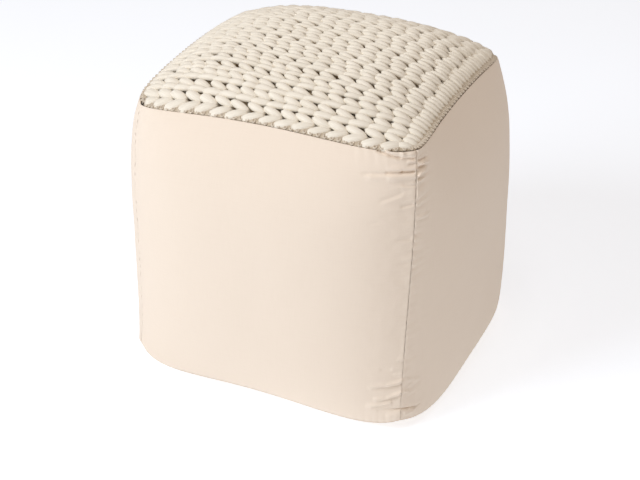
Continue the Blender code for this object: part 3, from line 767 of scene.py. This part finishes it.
yarn = bpy.data.materials.new("soft thick yarn")
yarn.use_nodes = True
nodes = yarn.node_tree.nodes
links = yarn.node_tree.links
shader = nodes["Principled BSDF"]
shader.inputs["Roughness"].default_value = 0.92
shader.inputs["Sheen Weight"].default_value = 0.25
shader.inputs["Sheen Roughness"].default_value = 0.5
shader.inputs["Specular IOR Level"].default_value = 0.2
yarn_map = nodes.new("ShaderNodeUVMap")
yarn_map.uv_map = "along the yarn"
drawn_out = nodes.new("ShaderNodeMapping")
drawn_out.inputs["Scale"].default_value = (70, 900, 1)
fibres = nodes.new("ShaderNodeTexNoise")
fibres.inputs["Scale"].default_value = 1
fibres.inputs["Detail"].default_value = 4
links.new(yarn_map.outputs["UV"], drawn_out.inputs["Vector"])
links.new(drawn_out.outputs["Vector"], fibres.inputs["Vector"])
place = nodes.new("ShaderNodeTexCoord")
dye = nodes.new("ShaderNodeTexNoise")
dye.inputs["Scale"].default_value = 45
dye.inputs["Detail"].default_value = 2
links.new(place.outputs["Object"], dye.inputs["Vector"])
fibre_shade = maths(yarn.node_tree, "MULTIPLY", fibres.outputs["Fac"], FIBRE_SHARE)
dye_shade = maths(yarn.node_tree, "MULTIPLY", dye.outputs["Fac"], DYE_SHARE)
shade = maths(yarn.node_tree, "ADD", fibre_shade, dye_shade)
tone = nodes.new("ShaderNodeMapRange")
tone.inputs["From Min"].default_value = 0.3
tone.inputs["From Max"].default_value = 0.58
tone.inputs["To Min"].default_value = 0.35
tone.inputs["To Max"].default_value = 1.0
links.new(shade, tone.inputs["Value"])
yarn_colour = nodes.new("ShaderNodeMix")
yarn_colour.data_type = "RGBA"
yarn_colour.inputs["A"].default_value = YARN_DARK
yarn_colour.inputs["B"].default_value = YARN_LIGHT
links.new(tone.outputs["Result"], yarn_colour.inputs["Factor"])
links.new(yarn_colour.outputs["Result"], shader.inputs["Base Color"])
relief = nodes.new("ShaderNodeBump")
relief.inputs["Strength"].default_value = 0.5
relief.inputs["Distance"].default_value = 0.0004
links.new(fibres.outputs["Fac"], relief.inputs["Height"])
links.new(relief.outputs["Normal"], shader.inputs["Normal"])
knit_mesh.materials.append(yarn)

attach(knit, "root")
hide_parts("knit_top")

# The edging: the knit's own cut edge, bound in fine loops of a thinner yarn and caught
# in the seam all round. It is best seen along the right edge, and in gaps at the front.
EDGING_SETBACK = 0.0040
EDGING_HALF_WIDTH = 0.0044
EDGING_HALF_HEIGHT = 0.0012
EDGING_PROUD = -0.0012
EDGING_STEPS = 150
EDGING_SIDES = 8
EDGING_RIB = 0.12
LOOPS = 44
LOOP_HALF_WIDTH = 0.50
LOOP_YARN = 0.0011
LOOP_REACH = 0.0027
LOOP_OVERHANG = 0.0013
LOOP_LIFT = 0.0006
LOOP_STEPS = 7
LOOP_SIDES = 5
LOOP_WANDER = 0.12
LEAST_REACH = 0.75
MOST_REACH = 1.15
LOOP_LIMIT = 0.999
FINE_YARN_LIGHT = (0.80, 0.71, 0.58, 1)
FINE_YARN_DARK = (0.48, 0.39, 0.29, 1)
# The strip's colours: the fine yarn's colours darkened, as painted shade where the strip lies
# under the loops
SHADED_GROUND_LIGHT = (0.64, 0.55, 0.42, 1)
SHADED_GROUND_DARK = (0.42, 0.33, 0.23, 1)

edging_share = 1 - EDGING_SETBACK / SIDE_TOP_HALF_WIDTH


def edge_frame(quarter, across):
    """The middle of the edging, with its outward and upward directions."""
    turn = math.radians(90 * quarter)
    right = across * math.cos(turn) + math.sin(turn)
    back = across * math.sin(turn) - math.cos(turn)

    def on_top(first, second):
        return top_place(first, second, edging_share)

    def on_side(first, second):
        return side_place(quarter, first, second)

    up = facing(on_top, right, back)
    out = facing(on_side, across, np.ones_like(across), lowest=0)
    out = out - up * np.sum(out * up, axis=-1, keepdims=True)
    out /= np.linalg.norm(out, axis=-1, keepdims=True)
    return on_top(right, back) + up * EDGING_PROUD, out, up


points = []
for quarter in range(4):
    across = np.linspace(-1, 1, EDGING_STEPS + 1)[:-1]
    centre, out, up = edge_frame(quarter, across)
    rib = 1 + EDGING_RIB * np.cos(math.pi * np.arange(EDGING_STEPS))
    for side in range(EDGING_SIDES):
        angle = 2 * math.pi * side / EDGING_SIDES
        points.append(centre + out * (EDGING_HALF_WIDTH * math.cos(angle) * rib)[:, None]
                      + up * (EDGING_HALF_HEIGHT * math.sin(angle) * rib)[:, None])
strip = np.concatenate([np.stack(points[quarter * EDGING_SIDES:(quarter + 1) * EDGING_SIDES],
                                 1) for quarter in range(4)])
count = len(strip)
index = np.arange(count * EDGING_SIDES).reshape(count, EDGING_SIDES)
after = np.roll(index, -1, 0)
faces = np.stack((index, after, np.roll(after, -1, 1), np.roll(index, -1, 1)), -1)
edging_mesh = bpy.data.meshes.new("edging_strip")
edging_mesh.from_pydata(strip.reshape(-1, 3).tolist(), [], faces.reshape(-1, 4).tolist())
edging_mesh.shade_smooth()
edging = bpy.data.objects.new("edging_strip", edging_mesh)
bpy.context.scene.collection.objects.link(edging)

points = []
faces = []
first = 0
for quarter in range(4):
    for number in range(LOOPS):
        middle = number + 0.5 + luck.uniform(-LOOP_WANDER, LOOP_WANDER)
        middle = -1 + 2 * middle / LOOPS
        bend = np.linspace(0, math.pi, LOOP_STEPS)
        across = middle - np.cos(bend) * LOOP_HALF_WIDTH / LOOPS
        centre, out, up = edge_frame(quarter, np.clip(across, -LOOP_LIMIT, LOOP_LIMIT))
        reach = LOOP_REACH * luck.uniform(LEAST_REACH, MOST_REACH)
        line = (centre + out * (reach * (2 * np.sin(bend) - 1) + LOOP_OVERHANG)[:, None]
                + up * (EDGING_HALF_HEIGHT * np.sin(bend) + LOOP_LIFT)[:, None])
        along = np.gradient(line, axis=0)
        along /= np.linalg.norm(along, axis=1, keepdims=True)
        aside = np.cross(along, up)
        aside /= np.linalg.norm(aside, axis=1, keepdims=True)
        above = np.cross(aside, along)
        for side in range(LOOP_SIDES):
            angle = 2 * math.pi * side / LOOP_SIDES
            points.append(line + (aside * math.cos(angle) + above * math.sin(angle))
                          * LOOP_YARN)
        for step in range(LOOP_STEPS - 1):
            for side in range(LOOP_SIDES):
                after = (side + 1) % LOOP_SIDES
                faces.append((first + side * LOOP_STEPS + step,
                              first + after * LOOP_STEPS + step,
                              first + after * LOOP_STEPS + step + 1,
                              first + side * LOOP_STEPS + step + 1))
        faces.append(tuple(first + side * LOOP_STEPS for side in reversed(range(LOOP_SIDES))))
        faces.append(tuple(first + side * LOOP_STEPS + LOOP_STEPS - 1
                           for side in range(LOOP_SIDES)))
        first += LOOP_STEPS * LOOP_SIDES
loops_mesh = bpy.data.meshes.new("edging_loops")
loops_mesh.from_pydata(np.concatenate(points).tolist(), [], faces)
loops_mesh.shade_smooth()
edging_loops = bpy.data.objects.new("edging_loops", loops_mesh)
bpy.context.scene.collection.objects.link(edging_loops)

fine_yarn = bpy.data.materials.new("fine edging yarn")
fine_yarn.use_nodes = True
nodes = fine_yarn.node_tree.nodes
links = fine_yarn.node_tree.links
shader = nodes["Principled BSDF"]
shader.inputs["Roughness"].default_value = 0.9
shader.inputs["Sheen Weight"].default_value = 0.2
place = nodes.new("ShaderNodeTexCoord")
fuzz = nodes.new("ShaderNodeTexNoise")
fuzz.inputs["Scale"].default_value = 700
fuzz.inputs["Detail"].default_value = 3
fine_colour = nodes.new("ShaderNodeMix")
fine_colour.data_type = "RGBA"
fine_colour.inputs["A"].default_value = FINE_YARN_DARK
fine_colour.inputs["B"].default_value = FINE_YARN_LIGHT
relief = nodes.new("ShaderNodeBump")
relief.inputs["Distance"].default_value = 0.0003
links.new(place.outputs["Object"], fuzz.inputs["Vector"])
links.new(fuzz.outputs["Fac"], fine_colour.inputs["Factor"])
links.new(fine_colour.outputs["Result"], shader.inputs["Base Color"])
links.new(fuzz.outputs["Fac"], relief.inputs["Height"])
links.new(relief.outputs["Normal"], shader.inputs["Normal"])
# The strip takes a darker copy of the fine yarn, which is painted shade under the loops
ground = fine_yarn.copy()
ground.name = "shaded edging ground"
for node in ground.node_tree.nodes:
    if node.bl_idname == "ShaderNodeMix":
        node.inputs["A"].default_value = SHADED_GROUND_DARK
        node.inputs["B"].default_value = SHADED_GROUND_LIGHT
for piece, finish in ((edging, ground), (edging_loops, fine_yarn)):
    piece.data.materials.append(finish)
    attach(piece, "root")
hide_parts("knit_edging")

# The room: a plain pale floor, white all round, and a large soft light high at the
# front left, with a weaker one overhead.
FLOOR_SIZE = 14
FLOOR_DROP = 0.0005
FLOOR_LIGHT = (0.68, 0.73, 0.79, 1)
FLOOR_DARK = (0.66, 0.71, 0.77, 1)
FLOOR_GLOW = (0.98, 0.98, 1, 1)
ROOM_COLOUR = (1, 0.85, 0.75, 1)

bpy.ops.object.select_all(action="DESELECT")
bpy.ops.mesh.primitive_plane_add(size=FLOOR_SIZE, location=(0, 0, -FLOOR_DROP))
floor = bpy.context.object
floor.name = "floor"
floor_finish = bpy.data.materials.new("pale floor")
floor_finish.use_nodes = True
nodes = floor_finish.node_tree.nodes
links = floor_finish.node_tree.links
shader = nodes["Principled BSDF"]
shader.inputs["Roughness"].default_value = 0.9
place = nodes.new("ShaderNodeTexCoord")
grain = nodes.new("ShaderNodeTexNoise")
grain.inputs["Scale"].default_value = 3
pale = nodes.new("ShaderNodeMix")
pale.data_type = "RGBA"
pale.inputs["A"].default_value = FLOOR_DARK
pale.inputs["B"].default_value = FLOOR_LIGHT
shader.inputs["Emission Color"].default_value = FLOOR_GLOW
shader.inputs["Emission Strength"].default_value = 0.52
links.new(place.outputs["Object"], grain.inputs["Vector"])
links.new(grain.outputs["Fac"], pale.inputs["Factor"])
links.new(pale.outputs["Result"], shader.inputs["Base Color"])
floor.data.materials.append(floor_finish)

world = bpy.data.worlds.new("white room")
bpy.context.scene.world = world
world.use_nodes = True
world.node_tree.nodes["Background"].inputs["Color"].default_value = ROOM_COLOUR
world.node_tree.nodes["Background"].inputs["Strength"].default_value = 0.32

Lamp = namedtuple("Lamp", "name place aim size power colour")
LAMPS = (
    Lamp("key light", (-1.65, -2.2, 1.95), (0.0, 0.0, 0.2), 1.6, 58, (0.94, 1.01, 1.10)),
    Lamp("top light", (0.6, -0.5, 3.0), (0.0, 0.0, 0.2), 2.0, 25, (1.0, 0.99, 0.98)),
)
for lamp in LAMPS:
    data = bpy.data.lights.new(lamp.name, "AREA")
    data.shape = "DISK"
    data.size = lamp.size
    data.energy = lamp.power
    data.color = lamp.colour
    made = bpy.data.objects.new(lamp.name, data)
    made.location = lamp.place
    made.rotation_euler = (Vector(lamp.aim) - Vector(lamp.place)).to_track_quat(
        "-Z", "Y").to_euler()
    bpy.context.scene.collection.objects.link(made)

# The camera: it stands at the front right and looks down on the pouf, so that the
# front, the right side and the whole knit show.
CAMERA_AZIMUTH = math.radians(24.0)
CAMERA_ELEVATION = math.radians(30.0)
CAMERA_TARGET = Vector((0.0075, -0.027, 0.1505))
CAMERA_DISTANCE = 2.1114
CAMERA_LENS = 91.83
CAMERA_SENSOR = 36

towards = Vector((math.sin(CAMERA_AZIMUTH) * math.cos(CAMERA_ELEVATION),
                  -math.cos(CAMERA_AZIMUTH) * math.cos(CAMERA_ELEVATION),
                  math.sin(CAMERA_ELEVATION)))
camera_data = bpy.data.cameras.new("camera")
camera_data.lens = CAMERA_LENS
camera_data.sensor_width = CAMERA_SENSOR
camera = bpy.data.objects.new("camera", camera_data)
camera.location = CAMERA_TARGET + towards * CAMERA_DISTANCE
camera.rotation_euler = (-towards).to_track_quat("-Z", "Y").to_euler()
bpy.context.scene.collection.objects.link(camera)
bpy.context.scene.camera = camera
bpy.context.scene.view_settings.view_transform = "Standard"
